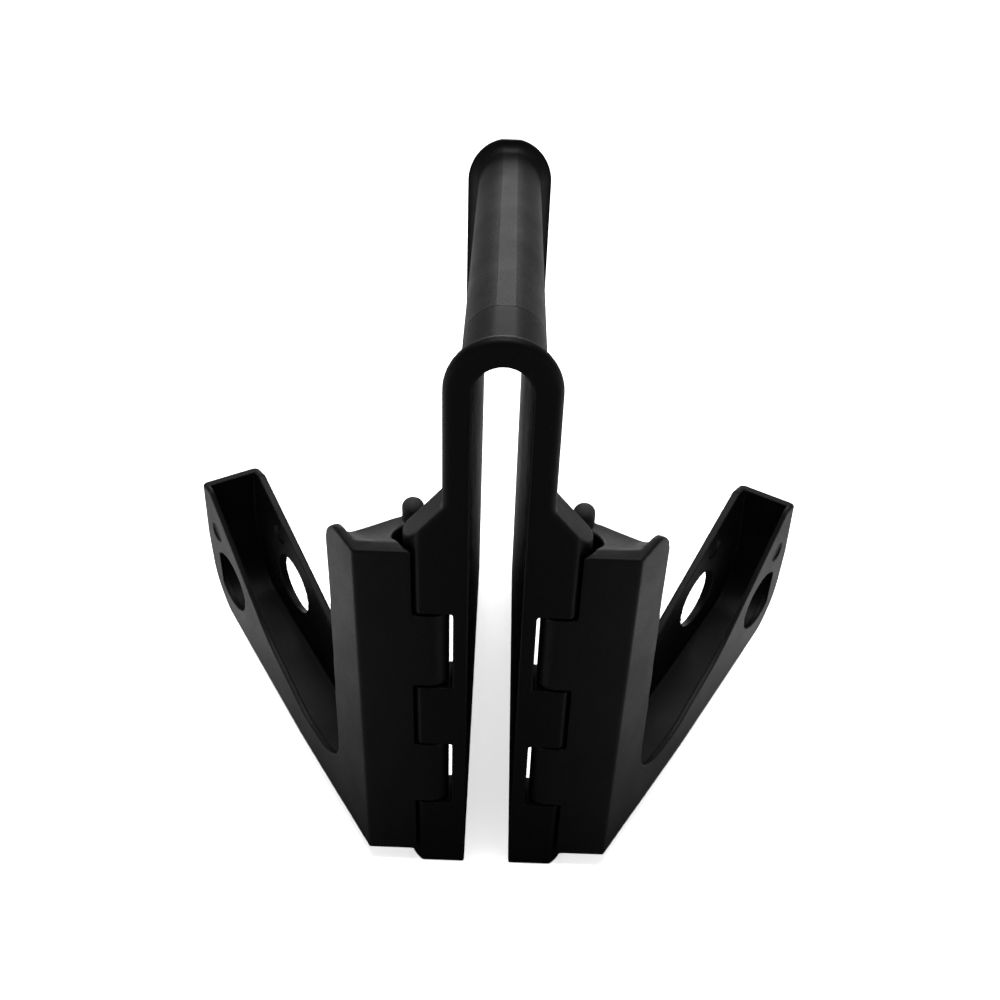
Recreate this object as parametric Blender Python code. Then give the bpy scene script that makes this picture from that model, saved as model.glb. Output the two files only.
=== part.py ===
"""Folding bicycle wall rack: an arched centre body with a hinged J-shaped arm on each side.

Frame: the part stands on its bottom edges at Z = 0, its flat front (wall) face is the lowest Y,
and X = 0 is the plane of symmetry.  Positive X is the right-hand side seen from the front.
Plan coordinates below count Y from the front face; CENTRE_Y moves the finished part so that
the middle of its depth is at Y = 0.
"""
import math

import bmesh
import bpy
from mathutils import Matrix, Vector

MM = 0.001

# Centre body: two walls joined by an arch over an open slot.
DEPTH = 300.0
ARCH_Z = 335.2
SLOT_HALF = 13.8
TUBE_HALF = 20.7
FLANGE_HALF = 27.9
TOP_FLAT_ANGLE = 13.0
FLANGE_THICK = 6.0
FLANGE_FOOT_Z = 262.0
FLANGE_RIM = 3.5
COVE = 7.5
BOSS_END = 51.5
CENTRE_Y = DEPTH / 2

# Joint between the front frame and the rear channel: a tongue in a rebate, held by screws.
FIT_GAP = 0.3
TONGUE_START = 39.6
TONGUE_HALF = 16.8
SCREW_Y = 45.5
SCREW_HEIGHTS = (30.0, 125.0, 220.0, 315.0)
SCREW_R = 1.5
SCREW_HEAD_R = 2.8
SCREW_HEAD_X = 14.1
SCREW_CONE_X = 15.4
SCREW_TIP_X = 19.1

# Hinge: a vertical axis on each side, three knuckles on the frame, two on the arm.
AXIS_X = 34.4
AXIS_Y = 12.0
LUG_CENTRE = (25.2, 18.5)
LUG_R = 23.6
LUG_BACK = 22.5
LUG_CORNER = 4.0
ARM_KNUCKLE_R = 12.0
KNUCKLE_FLAT_X = 24.5
LEG_HALF = 21.9
WINDOWS = ((55.3, 106.4), (150.8, 203.8))
KNUCKLE_GAP = 1.4
SHOULDER_TOP = (27.9, 270.9)
SHOULDER_END = (41.8, 254.6)
PIN_R = 4.0
PIN_BOTTOM = 8.6
PIN_TOP = 244.0
PLUG_R = 6.0
PLUG_TOP = 8.0
HEX_R = 2.9
WASHER_R = 9.0
WASHER_THICK = 0.8

# Arm: everything on it is placed along its outer side face (u), inwards from it (v), and up (z).
SIDE_X = 72.8
SIDE_ANGLE = math.radians(34.3)
ARM_WIDTH = 40.5
BLOCK_WIDTH = 51.7
WALL = 3.8
BLOCK_BOTTOM = 10.9
BLOCK_TOP = 244.8
BLOCK_BACK_U = 31.9
HORN_TOP = 248.0
HORN_ROUND = 15.0
OUTER_RIM = ((146, 71.5, 100), (86, 45.5, 60), (37.5, 46, 26))
INNER_RIM = ((140, 96.5, 50), (70, 58.5, 20), (37, 43, 12))
HOLE_LARGE = (208.0, 78.5, 20.5)
DIMPLE = (224.5, 112.0, 6.6)
DIMPLE_DEPTH = 1.5
DISH_FRONT_Y = 8.0
DISH_SIDE_V = 7.6
DISH_DEPTH = 15.0
DISH_SIDE_RUN = 13.0

# Round-topped peg on top of each arm block.
PEG_X = 45.7
PEG_Y = 44.0
PEG_R = 6.0
PEG_SHANK_R = 2.5
PEG_TOP = 246.4
PEG_DOME = 5.2
PEG_SHOULDER = 233.0
PEG_FOOT = 221.0

# Facets.
ARC_STEP = math.radians(7.5)
ARCH_STEPS = 11
CORNER_STEPS = 6


def clear_scene():
    for old in list(bpy.data.objects):
        bpy.data.objects.remove(old, do_unlink=True)


def make_material(name, colour, roughness, metallic=0.0):
    material = bpy.data.materials.new(name)
    material.use_nodes = True
    shader = material.node_tree.nodes["Principled BSDF"]
    shader.inputs["Base Color"].default_value = (*colour, 1.0)
    shader.inputs["Roughness"].default_value = roughness
    shader.inputs["Metallic"].default_value = metallic
    material.diffuse_color = (*colour, 1.0)
    return material


def make_object(name, build):
    """Turn points and faces, in millimetres, into a closed object with outward faces."""
    points, faces = build
    bm = bmesh.new()
    verts = [bm.verts.new((x * MM, (y - CENTRE_Y) * MM, z * MM)) for x, y, z in points]
    for face in faces:
        bm.faces.new([verts[index] for index in face])
    bmesh.ops.recalc_face_normals(bm, faces=bm.faces)
    mesh = bpy.data.meshes.new(name)
    bm.to_mesh(mesh)
    bm.free()
    obj = bpy.data.objects.new(name, mesh)
    bpy.context.collection.objects.link(obj)
    return obj


def loft(rings):
    """A solid through rings of equal length, with a flat cap on each end."""
    count = len(rings[0])
    points = [point for ring in rings for point in ring]
    faces = [list(range(count)), list(range(len(points) - count, len(points)))]
    for level in range(len(rings) - 1):
        for k in range(count):
            a = level * count + k
            b = level * count + (k + 1) % count
            faces.append([a, b, b + count, a + count])
    return points, faces


def combine(target, tool, operation):
    """Apply one Boolean to target, and delete the tool."""
    modifier = target.modifiers.new("cut", "BOOLEAN")
    modifier.operation = operation
    modifier.solver = "EXACT"
    modifier.object = tool
    graph = bpy.context.evaluated_depsgraph_get()
    mesh = bpy.data.meshes.new_from_object(target.evaluated_get(graph))
    target.modifiers.clear()
    target.data = mesh
    bpy.data.objects.remove(tool, do_unlink=True)


def cut(target, build):
    combine(target, make_object("tool", build), "DIFFERENCE")


def join(target, build):
    combine(target, make_object("tool", build), "UNION")


def finish(obj, material):
    """Give a finished piece its one material, and shade its round faces smooth."""
    obj.data.materials.clear()
    obj.data.materials.append(material)
    obj.data.shade_smooth()
    obj.data.set_sharp_from_angle(angle=math.radians(30))
    return obj


def arc(centre, radius, start, end, steps=None):
    """Points on a circle from start to end, in degrees."""
    steps = steps or max(2, round(abs(math.radians(end - start)) / ARC_STEP))
    angles = [math.radians(start + (end - start) * k / steps) for k in range(steps + 1)]
    return [(centre[0] + radius * math.cos(a), centre[1] + radius * math.sin(a)) for a in angles]


def rounded(corners):
    """An outline from corners (a, b, radius), each corner replaced by an arc of its radius."""
    outline = []
    for k, (a, b, radius) in enumerate(corners):
        corner = Vector((a, b))
        if radius == 0:
            outline.append((a, b))
            continue
        back = (Vector(corners[k - 1][:2]) - corner).normalized()
        ahead = (Vector(corners[(k + 1) % len(corners)][:2]) - corner).normalized()
        half = math.acos(max(-1.0, min(1.0, back.dot(ahead)))) / 2
        centre = corner + (back + ahead).normalized() * radius / math.sin(half)
        first = corner + back * radius / math.tan(half) - centre
        turn = math.pi - 2 * half
        sign = 1 if back.x * ahead.y - back.y * ahead.x < 0 else -1
        for step in range(CORNER_STEPS + 1):
            spin = Matrix.Rotation(sign * turn * step / CORNER_STEPS, 2)
            outline.append(tuple(centre + spin @ first))
    return outline


def box(low, high):
    corners = [(low[0], low[1]), (high[0], low[1]), (high[0], high[1]), (low[0], high[1])]
    return prism(corners, low[2], high[2])


def prism(outline, low, high):
    """An upright prism on a plan outline."""
    return loft([[(x, y, z) for x, y in outline] for z in (low, high)])


def lathe(profile, place, sides=24):
    """Turn a profile of (radius, distance) about the axis that place sets."""
    rings = []
    for radius, distance in profile:
        angles = [math.tau * k / sides for k in range(sides)]
        rings.append([place(radius * math.cos(a), radius * math.sin(a), distance) for a in angles])
    return loft(rings)


def upright(x, y):
    return lambda a, b, distance: (x + a, y + b, distance)


# ---------------------------------------------------------------- centre body

def arch_path(half, y, bottom, flat_top):
    """Floor to floor over the arch; flat_top planes off the crown."""
    limit = half * math.cos(math.radians(TOP_FLAT_ANGLE)) if flat_top else half
    shoulder = [90 - (90 - TOP_FLAT_ANGLE) * k / ARCH_STEPS for k in range(ARCH_STEPS + 1)]
    crown = [TOP_FLAT_ANGLE / 2, 0, -TOP_FLAT_ANGLE / 2]
    angles = shoulder + crown + [-angle for angle in reversed(shoulder)]
    path = [(half, y, bottom)]
    for angle in angles:
        a = math.radians(angle)
        rise = min(half * math.cos(a), limit)
        path.append((half * math.sin(a), y, ARCH_Z + rise))
    path.append((-half, y, bottom))
    return path


def arch_body(outer, inner, bottom, flat_top=True):
    """A U-shaped body; outer and inner list (y, half width) from front to back."""
    paths = [arch_path(half, y, bottom, flat_top) for y, half in outer]
    paths += [arch_path(half, y, bottom, False) for y, half in inner]
    count = len(paths[0])
    points = [point for path in paths for point in path]
    split = len(outer)
    last = len(paths) - 1
    pairs = [(row, row + 1) for row in range(last) if row + 1 != split]
    pairs += [(0, split), (split - 1, last)]
    faces = []
    for one, two in pairs:
        for k in range(count - 1):
            faces.append([one * count + k, one * count + k + 1, two * count + k + 1, two * count + k])
    order = list(range(split)) + list(range(last, split - 1, -1))
    faces.append([row * count for row in order])
    faces.append([row * count + count - 1 for row in order])
    return points, faces


def flange_profile(face_y, direction):
    """(y, half width) from the outer face of a flange, over its rounded rim, down its cove."""
    back_edge = 0.6
    rim_centre = (FLANGE_RIM, FLANGE_HALF - FLANGE_RIM)
    profile = arc(rim_centre, FLANGE_RIM, 180, 90, 4)
    cove_centre = (FLANGE_THICK + COVE, TUBE_HALF + COVE)
    start = math.degrees(math.asin((FLANGE_HALF - back_edge - cove_centre[1]) / COVE))
    profile.append((FLANGE_THICK - back_edge, FLANGE_HALF))
    profile += arc(cove_centre, COVE, 180 - start, 270, 5)
    return [(face_y + direction * y, half) for y, half in profile]


def lug_outline():
    """Plan of the right-hand lug: leg, web and the bulging hinge barrel, flat at the front."""
    reach = math.degrees(math.asin(LUG_CENTRE[1] / LUG_R))
    barrel = arc(LUG_CENTRE, LUG_R, -reach, 0)
    centre = (LUG_CENTRE[0] + LUG_R - LUG_CORNER, LUG_BACK - LUG_CORNER)
    corner = arc(centre, LUG_CORNER, 0, 90)
    return [(SLOT_HALF + 2, 0)] + barrel[:-1] + corner + [(SLOT_HALF + 2, LUG_BACK)]


def mirrored(build, side):
    points, faces = build
    return [(side * x, y, z) for x, y, z in points], faces


def shoulder_cut():
    """The wedge above the sloping shoulder."""
    (x0, z0), (x1, z1) = SHOULDER_TOP, SHOULDER_END
    slope = (z1 - z0) / (x1 - x0)
    near, far = SLOT_HALF - 2, AXIS_X + 30
    outline = [(near, z0 + slope * (near - x0)), (far, z0 + slope * (far - x0)), (far, 330), (near, 330)]
    return loft([[(x, y, z) for x, z in outline] for y in (-5, 40)])


def screw_place(side, height):
    return lambda a, b, distance: (side * distance, SCREW_Y + a, height + b)


def build_lug(side):
    lug = make_object("lug", mirrored(prism(lug_outline(), 0, 290), side))
    cut(lug, mirrored(shoulder_cut(), side))
    for low, high in WINDOWS:
        cut(lug, mirrored(box((LEG_HALF, -5, low), (AXIS_X + 30, 40, high)), side))
    return lug


def build_front_frame(material):
    rebate = TONGUE_HALF + FIT_GAP
    inner = [(0, SLOT_HALF), (TONGUE_START - FIT_GAP, SLOT_HALF), (TONGUE_START - FIT_GAP, rebate)]
    inner.append((BOSS_END, rebate))
    frame = make_object("front_frame", arch_body([(0, TUBE_HALF), (BOSS_END, TUBE_HALF)], inner, 0))
    flange = flange_profile(0, 1)
    hidden = [(y, SLOT_HALF + 2) for y in (flange[0][0], flange[-1][0])]
    join(frame, arch_body(flange, hidden, FLANGE_FOOT_Z, flat_top=False))
    for side in (1, -1):
        combine(frame, build_lug(side), "UNION")
        bore = [(PIN_R + FIT_GAP, -5), (PIN_R + FIT_GAP, PIN_TOP + 1)]
        cut(frame, lathe(bore, upright(side * AXIS_X, AXIS_Y), 32))
        seat = [(PLUG_R + FIT_GAP, -5), (PLUG_R + FIT_GAP, PLUG_TOP + FIT_GAP)]
        cut(frame, lathe(seat, upright(side * AXIS_X, AXIS_Y), 32))
        for height in SCREW_HEIGHTS:
            pilot = [(SCREW_R + FIT_GAP, TONGUE_HALF - 1), (SCREW_R + FIT_GAP, SCREW_TIP_X + FIT_GAP)]
            cut(frame, lathe(pilot, screw_place(side, height), 16))
    return finish(frame, material)


def build_channel(material):
    seam = BOSS_END + FIT_GAP
    flange = flange_profile(DEPTH, -1)
    outer = [(TONGUE_START, TONGUE_HALF), (seam, TONGUE_HALF), (seam, TUBE_HALF)] + flange[::-1]
    inner = [(TONGUE_START, SLOT_HALF), (DEPTH, SLOT_HALF)]
    channel = make_object("rear_channel", arch_body(outer, inner, 0))
    head, clear = SCREW_HEAD_R + FIT_GAP, SCREW_R + FIT_GAP
    countersink = [(head, SLOT_HALF - 2), (head, SCREW_HEAD_X)]
    countersink += [(clear, SCREW_CONE_X), (clear, TONGUE_HALF + 2)]
    for side in (1, -1):
        for height in SCREW_HEIGHTS:
            cut(channel, lathe(countersink, screw_place(side, height), 16))
    return finish(channel, material)


def build_screw(name, side, height, material):
    profile = [(SCREW_HEAD_R, SCREW_HEAD_X), (SCREW_R, SCREW_CONE_X), (SCREW_R, SCREW_TIP_X - 0.8)]
    profile.append((SCREW_R * 0.5, SCREW_TIP_X))
    screw = make_object(name, lathe(profile, screw_place(side, height), 16))
    return finish(screw, material)


# ---------------------------------------------------------------- hinge hardware

def build_pin(name, side, material):
    chamfer = 0.6
    profile = [(PIN_R - chamfer, PIN_BOTTOM), (PIN_R, PIN_BOTTOM + chamfer)]
    profile += [(PIN_R, PIN_TOP - chamfer), (PIN_R - chamfer, PIN_TOP)]
    pin = make_object(name, lathe(profile, upright(side * AXIS_X, AXIS_Y)))
    return finish(pin, material)


def build_plug(name, side, material):
    profile = [(PLUG_R - 0.5, FIT_GAP), (PLUG_R, FIT_GAP + 0.5), (PLUG_R, PLUG_TOP)]
    plug = make_object(name, lathe(profile, upright(side * AXIS_X, AXIS_Y)))
    socket = [(HEX_R, -1), (HEX_R, 4)]
    cut(plug, lathe(socket, upright(side * AXIS_X, AXIS_Y), 6))
    return finish(plug, material)


def build_washer(name, side, seat, material):
    low = seat + (KNUCKLE_GAP - WASHER_THICK) / 2
    profile = [(WASHER_R, low), (WASHER_R, low + WASHER_THICK)]
    washer = make_object(name, lathe(profile, upright(side * AXIS_X, AXIS_Y), 32))
    hole = [(PIN_R + FIT_GAP, low - 1), (PIN_R + FIT_GAP, low + WASHER_THICK + 1)]
    cut(washer, lathe(hole, upright(side * AXIS_X, AXIS_Y), 32))
    return finish(washer, material)


# ---------------------------------------------------------------- folding arm (right-hand one)

def arm_point(u, v, z):
    """From arm coordinates to plan coordinates and height."""
    s, c = math.sin(SIDE_ANGLE), math.cos(SIDE_ANGLE)
    return SIDE_X + u * s - v * c, u * c + v * s, z


def arm_solid(*slices):
    """A solid through side outlines (u, z), each at its own depth."""
    return loft([[arm_point(u, depth, z) for u, z in outline] for depth, outline in slices])


def side_outline(rim):
    """Side view of the arm: upright block, long bottom edge, rounded heel and tip, then the rim."""
    return rounded([
        (-70, BLOCK_BOTTOM, 0),
        (0, BLOCK_BOTTOM, 0),
        (100, 20.5, 200),
        (243, 46, 38),
        (248, 100, 60),
        (242, 143, 3),
        (230, 145, 8),
        *rim,
        (BLOCK_BACK_U, 200, 0),
        (BLOCK_BACK_U, HORN_TOP, HORN_ROUND),
        (0, BLOCK_TOP, 0),
        (-70, BLOCK_TOP, 0),
    ])


def block_outline():
    """Side view of the upright block alone, just inside the arm's outline."""
    back = BLOCK_BACK_U - 0.4
    low, high = BLOCK_BOTTOM + 0.5, BLOCK_TOP - 0.4
    return rounded([
        (-90, low, 0),
        (0, low, 0),
        (back, low + 3, 0),
        (back, HORN_TOP - 0.4, HORN_ROUND),
        (0, high, 0),
        (-90, high, 0),
    ])


def trough_outline():
    """Side view of the hollow inside the arm, open at the top."""
    return rounded([
        (39.5, 18.5, 0),
        (100, 20.5 + WALL, 200),
        (240, 46 + 1.4 * WALL, 34),
        (248 - WALL, 100, 60),
        (243 - WALL, 146, 0),
        (243 - WALL, 220, 0),
        (BLOCK_BACK_U + 0.4, 220, 0),
        (37.9, 60, 0),
    ])


def from_axis(along, inward):
    """A plan point at a distance along the arm and inwards from the hinge axis."""
    s, c = math.sin(SIDE_ANGLE), math.cos(SIDE_ANGLE)
    return AXIS_X + along * s - inward * c, AXIS_Y + along * c + inward * s


def pocket_outline():
    """Plan of the hollow behind and around the frame's knuckles, open at the front and inside."""
    return rounded([
        (43.2, -60, 0),
        (43.2, 0, 0),
        (50.8, 9.6, 30),
        (56.2, 26, 22),
        (52, 39, 7),
        (36, 40, 0),
        (-10, 40, 0),
        (-10, -60, 0),
    ])


def knuckle_outline():
    """Plan of the arm's knuckle: a round end, flush with the front, with a web into the block."""
    web = 8.5
    flat = math.degrees(math.acos((AXIS_X - KNUCKLE_FLAT_X) / ARM_KNUCKLE_R))
    web_end = 90 - math.degrees(SIDE_ANGLE) + math.degrees(math.asin(web / ARM_KNUCKLE_R))
    front_end = arc((AXIS_X, AXIS_Y), ARM_KNUCKLE_R, 270, 180 + flat)
    back_end = arc((AXIS_X, AXIS_Y), ARM_KNUCKLE_R, 180 - flat, web_end)
    block_side = [from_axis(32, web), from_axis(32, -12), (60, 20)]
    return [(52, 0)] + front_end + back_end + block_side


def dish_cutter():
    """Everything above the dished top: a hollow that falls to the back from two raised rims."""
    back_u = BLOCK_BACK_U + 6
    inner_v = BLOCK_WIDTH + 18
    rows, columns = 10, 12
    low = []
    for i in range(rows + 1):
        row = []
        for j in range(columns + 1):
            v = DISH_SIDE_V + (inner_v - DISH_SIDE_V) * (j / columns) ** 1.7
            s, c = math.sin(SIDE_ANGLE), math.cos(SIDE_ANGLE)
            front_u = (DISH_FRONT_Y - v * s) / c
            t = i / rows
            u = front_u + (back_u - front_u) * t
            across = min(1.0, (v - DISH_SIDE_V) / DISH_SIDE_RUN)
            fall = DISH_DEPTH * (1 - (1 - t) ** 2) * math.sqrt(1 - (1 - across) ** 2)
            row.append(arm_point(u, v, BLOCK_TOP + 0.05 - fall))
        low.append(row)
    width = columns + 1
    points = [point for row in low for point in row]
    count = len(points)
    points += [(x, y, 300) for x, y, z in points]
    faces = []
    for i in range(rows):
        for j in range(columns):
            a = i * width + j
            faces.append([a, a + 1, a + width + 1])
            faces.append([a, a + width + 1, a + width])
    border = list(range(width))
    border += [i * width + columns for i in range(1, rows + 1)]
    border += [rows * width + j for j in range(columns - 1, -1, -1)]
    border += [i * width for i in range(rows - 1, 0, -1)]
    for k, a in enumerate(border):
        b = border[(k + 1) % len(border)]
        faces.append([a, b, b + count, a + count])
    faces.append([a + count for a in border])
    return points, faces


def along_x(y, z):
    return lambda a, b, distance: (distance, y + a, z + b)


def dimple(face):
    """The blind recess in a wall of the arm, on the face at that depth, beside the large hole."""
    u, z, radius = DIMPLE
    u -= face * math.tan(SIDE_ANGLE)
    wide = radius / math.cos(SIDE_ANGLE)
    angles = [math.tau * k / 28 for k in range(28)]
    outline = [(u + wide * math.cos(a), z + radius * math.sin(a)) for a in angles]
    return arm_solid((face - DIMPLE_DEPTH, outline), (face + DIMPLE_DEPTH, outline))


def build_arm(name, side, material):
    outer, inner = side_outline(OUTER_RIM), side_outline(INNER_RIM)
    deep = WALL + 2
    shell = arm_solid((0, outer), (deep, outer), (ARM_WIDTH - deep, inner), (ARM_WIDTH, inner))
    arm = make_object(name, mirrored(shell, side))
    block = arm_solid((1, block_outline()), (BLOCK_WIDTH, block_outline()))
    join(arm, mirrored(block, side))
    before_the_front = box((-50, -90, -20), (140, 0, 320))
    cut(arm, mirrored(before_the_front, side))
    cut(arm, mirrored(prism(pocket_outline(), -20, 320), side))
    for low, high in WINDOWS:
        knuckle = prism(knuckle_outline(), low + KNUCKLE_GAP, high - KNUCKLE_GAP)
        join(arm, mirrored(knuckle, side))
    bore = lathe([(PIN_R + FIT_GAP, -5), (PIN_R + FIT_GAP, 260)], upright(AXIS_X, AXIS_Y), 32)
    cut(arm, mirrored(bore, side))
    trough = arm_solid((WALL, trough_outline()), (ARM_WIDTH - WALL, trough_outline()))
    cut(arm, mirrored(trough, side))
    u, z, radius = HOLE_LARGE
    x, y, _ = arm_point(u, 0, z)
    cut(arm, mirrored(lathe([(radius, x + 10), (radius, x - 80)], along_x(y, z), 40), side))
    for face in (0, ARM_WIDTH - WALL):
        cut(arm, mirrored(dimple(face), side))
    cut(arm, mirrored(dish_cutter(), side))
    socket = [(PEG_SHANK_R + FIT_GAP, PEG_FOOT - FIT_GAP), (PEG_SHANK_R + FIT_GAP, 300)]
    cut(arm, mirrored(lathe(socket, upright(PEG_X, PEG_Y)), side))
    return finish(arm, material)


def build_peg(name, side, material):
    profile = [(PEG_SHANK_R, PEG_FOOT), (PEG_SHANK_R, PEG_SHOULDER), (PEG_R - 0.4, PEG_SHOULDER)]
    dome_base = PEG_TOP - PEG_DOME
    profile += [(PEG_R, PEG_SHOULDER + 0.4), (PEG_R, dome_base)]
    last = math.radians(80)
    for k in range(1, 6):
        a = last * k / 5
        profile.append((PEG_R * math.cos(a), dome_base + PEG_DOME * math.sin(a) / math.sin(last)))
    peg = make_object(name, mirrored(lathe(profile, upright(PEG_X, PEG_Y)), side))
    return finish(peg, material)


def set_origin(obj, x, y, z):
    """Move the object's origin to a plan point without moving its mesh."""
    shift = Vector((x * MM, (y - CENTRE_Y) * MM, z * MM))
    obj.data.transform(Matrix.Translation(-shift))
    obj.location = shift


def main():
    clear_scene()
    plastic = make_material("black_plastic", (0.022, 0.022, 0.022), 0.48)
    steel = make_material("steel", (0.45, 0.45, 0.46), 0.35, 1.0)
    washer_plastic = make_material("washer_plastic", (0.02, 0.02, 0.02), 0.35)
    build_front_frame(plastic)
    build_channel(plastic)
    for label, side in (("right", 1), ("left", -1)):
        for number, height in enumerate(SCREW_HEIGHTS, start=1):
            build_screw(f"joint_screw_{label}_{number}", side, height, steel)
        build_pin(f"hinge_pin_{label}", side, steel)
        build_plug(f"pin_plug_{label}", side, plastic)
        for level, (seat, _) in zip(("lower", "upper"), WINDOWS):
            build_washer(f"thrust_washer_{label}_{level}", side, seat, washer_plastic)
        arm = build_arm(f"arm_{label}", side, plastic)
        peg = build_peg(f"top_peg_{label}", side, plastic)
        pivot = bpy.data.objects.new(f"pivot_{label}", None)
        pivot.location = (side * AXIS_X * MM, (AXIS_Y - CENTRE_Y) * MM, 0)
        bpy.context.collection.objects.link(pivot)
        for piece in (arm, peg):
            set_origin(piece, side * AXIS_X, AXIS_Y, 0)
            piece.location = (0, 0, 0)
            piece.parent = pivot


main()
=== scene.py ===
"""Looks of the folding bicycle wall rack: moulded shells, procedural black plastic, studio and camera.

Shapes are written in millimetres in plan coordinates: X from the plane of symmetry, Y from the
flat front (wall) face, Z from the floor.  The right-hand arm is made first and mirrored.
"""
import math

import bmesh
import bpy
from mathutils import Matrix, Vector


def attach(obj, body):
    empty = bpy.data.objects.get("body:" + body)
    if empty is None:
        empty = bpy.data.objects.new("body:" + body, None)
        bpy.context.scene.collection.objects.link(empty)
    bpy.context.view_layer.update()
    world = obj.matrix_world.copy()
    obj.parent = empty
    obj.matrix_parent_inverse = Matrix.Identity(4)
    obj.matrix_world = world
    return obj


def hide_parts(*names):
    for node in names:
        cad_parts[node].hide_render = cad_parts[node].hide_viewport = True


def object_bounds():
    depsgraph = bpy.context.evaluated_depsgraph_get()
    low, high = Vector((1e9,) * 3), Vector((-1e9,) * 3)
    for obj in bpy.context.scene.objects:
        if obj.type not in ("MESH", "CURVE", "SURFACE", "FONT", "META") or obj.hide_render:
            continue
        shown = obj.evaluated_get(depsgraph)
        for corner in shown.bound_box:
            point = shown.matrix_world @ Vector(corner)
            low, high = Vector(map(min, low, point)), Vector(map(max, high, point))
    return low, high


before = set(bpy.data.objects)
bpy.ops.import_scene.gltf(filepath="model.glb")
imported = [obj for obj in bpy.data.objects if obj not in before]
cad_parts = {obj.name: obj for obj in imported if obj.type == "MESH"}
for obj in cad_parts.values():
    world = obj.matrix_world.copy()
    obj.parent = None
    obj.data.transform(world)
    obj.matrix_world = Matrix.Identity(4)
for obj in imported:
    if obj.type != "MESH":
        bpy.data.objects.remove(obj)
CAD_LOW, CAD_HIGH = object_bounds()

MM = 0.001
CENTRE_Y = -CAD_LOW[1] / MM

# Centre body.
DEPTH = (CAD_HIGH[1] - CAD_LOW[1]) / MM
ARCH_Z = 335.2
SLOT_HALF = 13.8
TUBE_HALF = 20.7
FLANGE_HALF = 27.9
TOP_FLAT_ANGLE = 13.0
FLANGE_THICK = 6.0
FLANGE_FOOT_Z = 262.0
FLANGE_RIM = 3.5
COVE = 7.5
BOSS_END = 51.5
FIT_GAP = 0.3
TONGUE_START = 39.6
TONGUE_HALF = 16.8
SCREWS_A_SIDE = 4

# Hinge.
AXIS_X = 34.4
AXIS_Y = 12.0
LUG_CENTRE = (25.2, 18.5)
LUG_R = 23.6
LUG_BACK = 22.5
LUG_CORNER = 4.0
ARM_KNUCKLE_R = 12.0
KNUCKLE_FLAT_X = 24.5
LEG_HALF = 21.9
WINDOWS = ((55.3, 106.4), (150.8, 203.8))
KNUCKLE_GAP = 1.4
SHOULDER_TOP = (27.9, 270.9)
SHOULDER_END = (41.8, 254.6)
PIN_R = 4.0
PIN_TOP = 244.0
PLUG_R = 6.0
PLUG_TOP = 8.0
HEX_R = 2.9
HEX_TOP = 4.0

# Arm, along its outer side face (u), inwards from it (v) and up (z).
SIDE_X = 72.8
SIDE_ANGLE = math.radians(34.3)
SIDE_SIN = math.sin(SIDE_ANGLE)
SIDE_COS = math.cos(SIDE_ANGLE)
ARM_WIDTH = 40.5
BLOCK_WIDTH = 51.7
WALL = 3.8
BLOCK_BOTTOM = 10.9
BLOCK_TOP = 244.8
BLOCK_BACK_U = 31.9
HORN_TOP = 248.0
HORN_ROUND = 15.0
OUTER_RIM = ((146, 71.5, 100), (86, 45.5, 60), (37.5, 46, 26))
INNER_RIM = ((140, 96.5, 50), (70, 58.5, 20), (37, 43, 12))
HOLE_LARGE = (208.0, 78.5, 20.5)
DIMPLE = (224.5, 112.0, 6.6)
DIMPLE_DEPTH = 1.5
TIP_U = 243.0
TIP_ROUND = 4.0
TIP_ROUND_START = 222.0
TIP_ROUND_RUN = 12.0
INNER_SKIN = 1.5
TIP_WALL = 6.6
DISH_FRONT_Y = 8.0
DISH_SIDE_V = 5.2
DISH_DEPTH = 15.0
DISH_SOFTNESS = 1.35
DISH_SIDE_RUN = 13.0

# Peg on each block.
PEG_X = 45.7
PEG_Y = 44.0
PEG_R = 6.0
PEG_SHANK_R = 2.5
PEG_TOP = 246.4
PEG_SHOULDER = 233.0
PEG_FOOT = 221.0
PEG_DOME = 5.2
PEG_CHAMFER = 0.4
KNURL_PITCH = 1.0
KNURL_DEPTH = 0.16
KNURL_GROOVES = 28
KNURL_INNER_R = PEG_SHANK_R + 1

# Where cutting shapes and rough blanks end, clear of the finished part.
OVERLAP = 2.0
BELOW_FLOOR = -5.0
BEFORE_WALL = -5.0
BEHIND_LUG = 40.0
OUTSIDE_LUG = AXIS_X + 30
LUG_BLANK_TOP = 290.0
LUG_CLEAR_TOP = 330.0
ARM_CLEAR_LOW = -20.0
ARM_CLEAR_TOP = 320.0
BORE_CLEAR_TOP = 260.0
DISH_CLEAR_TOP = 300.0

# Fineness of the surfaces.
ARC_STEP = math.radians(4)
ARCH_STEPS = 22
FOOT_STEPS = 4
CORNER_STEPS = 16
TIP_STEPS = 8
DIMPLE_SIDES = 64
DISH_ROWS = 24
DISH_COLUMNS = 30
KNURL_SIDES = 168
SIDE_ROWS_A_PITCH = 6
DOME_STEPS = 13
DOME_END = math.radians(86)
VOXEL = 0.7
KEEP_SHARE = 0.2

# The smoothing that rounds a moulding's edges, and each place's share of it: 1 is about 3 mm.
SOFT_PASSES = 40
SOFT_STEP = 0.5
SOFT_HOLE = 0.05
SOFT_RIM = 0.12
SOFT_KNUCKLE = 0.14
SOFT_EDGE = 0.3
SOFT_CORNER = 0.5


# ---------------------------------------------------------------- mesh helpers

def make_object(name, build):
    """Turn points and faces, in millimetres, into a closed object with outward faces."""
    points, faces = build
    bm = bmesh.new()
    verts = [bm.verts.new((x * MM, (y - CENTRE_Y) * MM, z * MM)) for x, y, z in points]
    for face in faces:
        bm.faces.new([verts[index] for index in face])
    bmesh.ops.recalc_face_normals(bm, faces=bm.faces)
    mesh = bpy.data.meshes.new(name)
    bm.to_mesh(mesh)
    bm.free()
    obj = bpy.data.objects.new(name, mesh)
    bpy.context.collection.objects.link(obj)
    return obj


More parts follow.
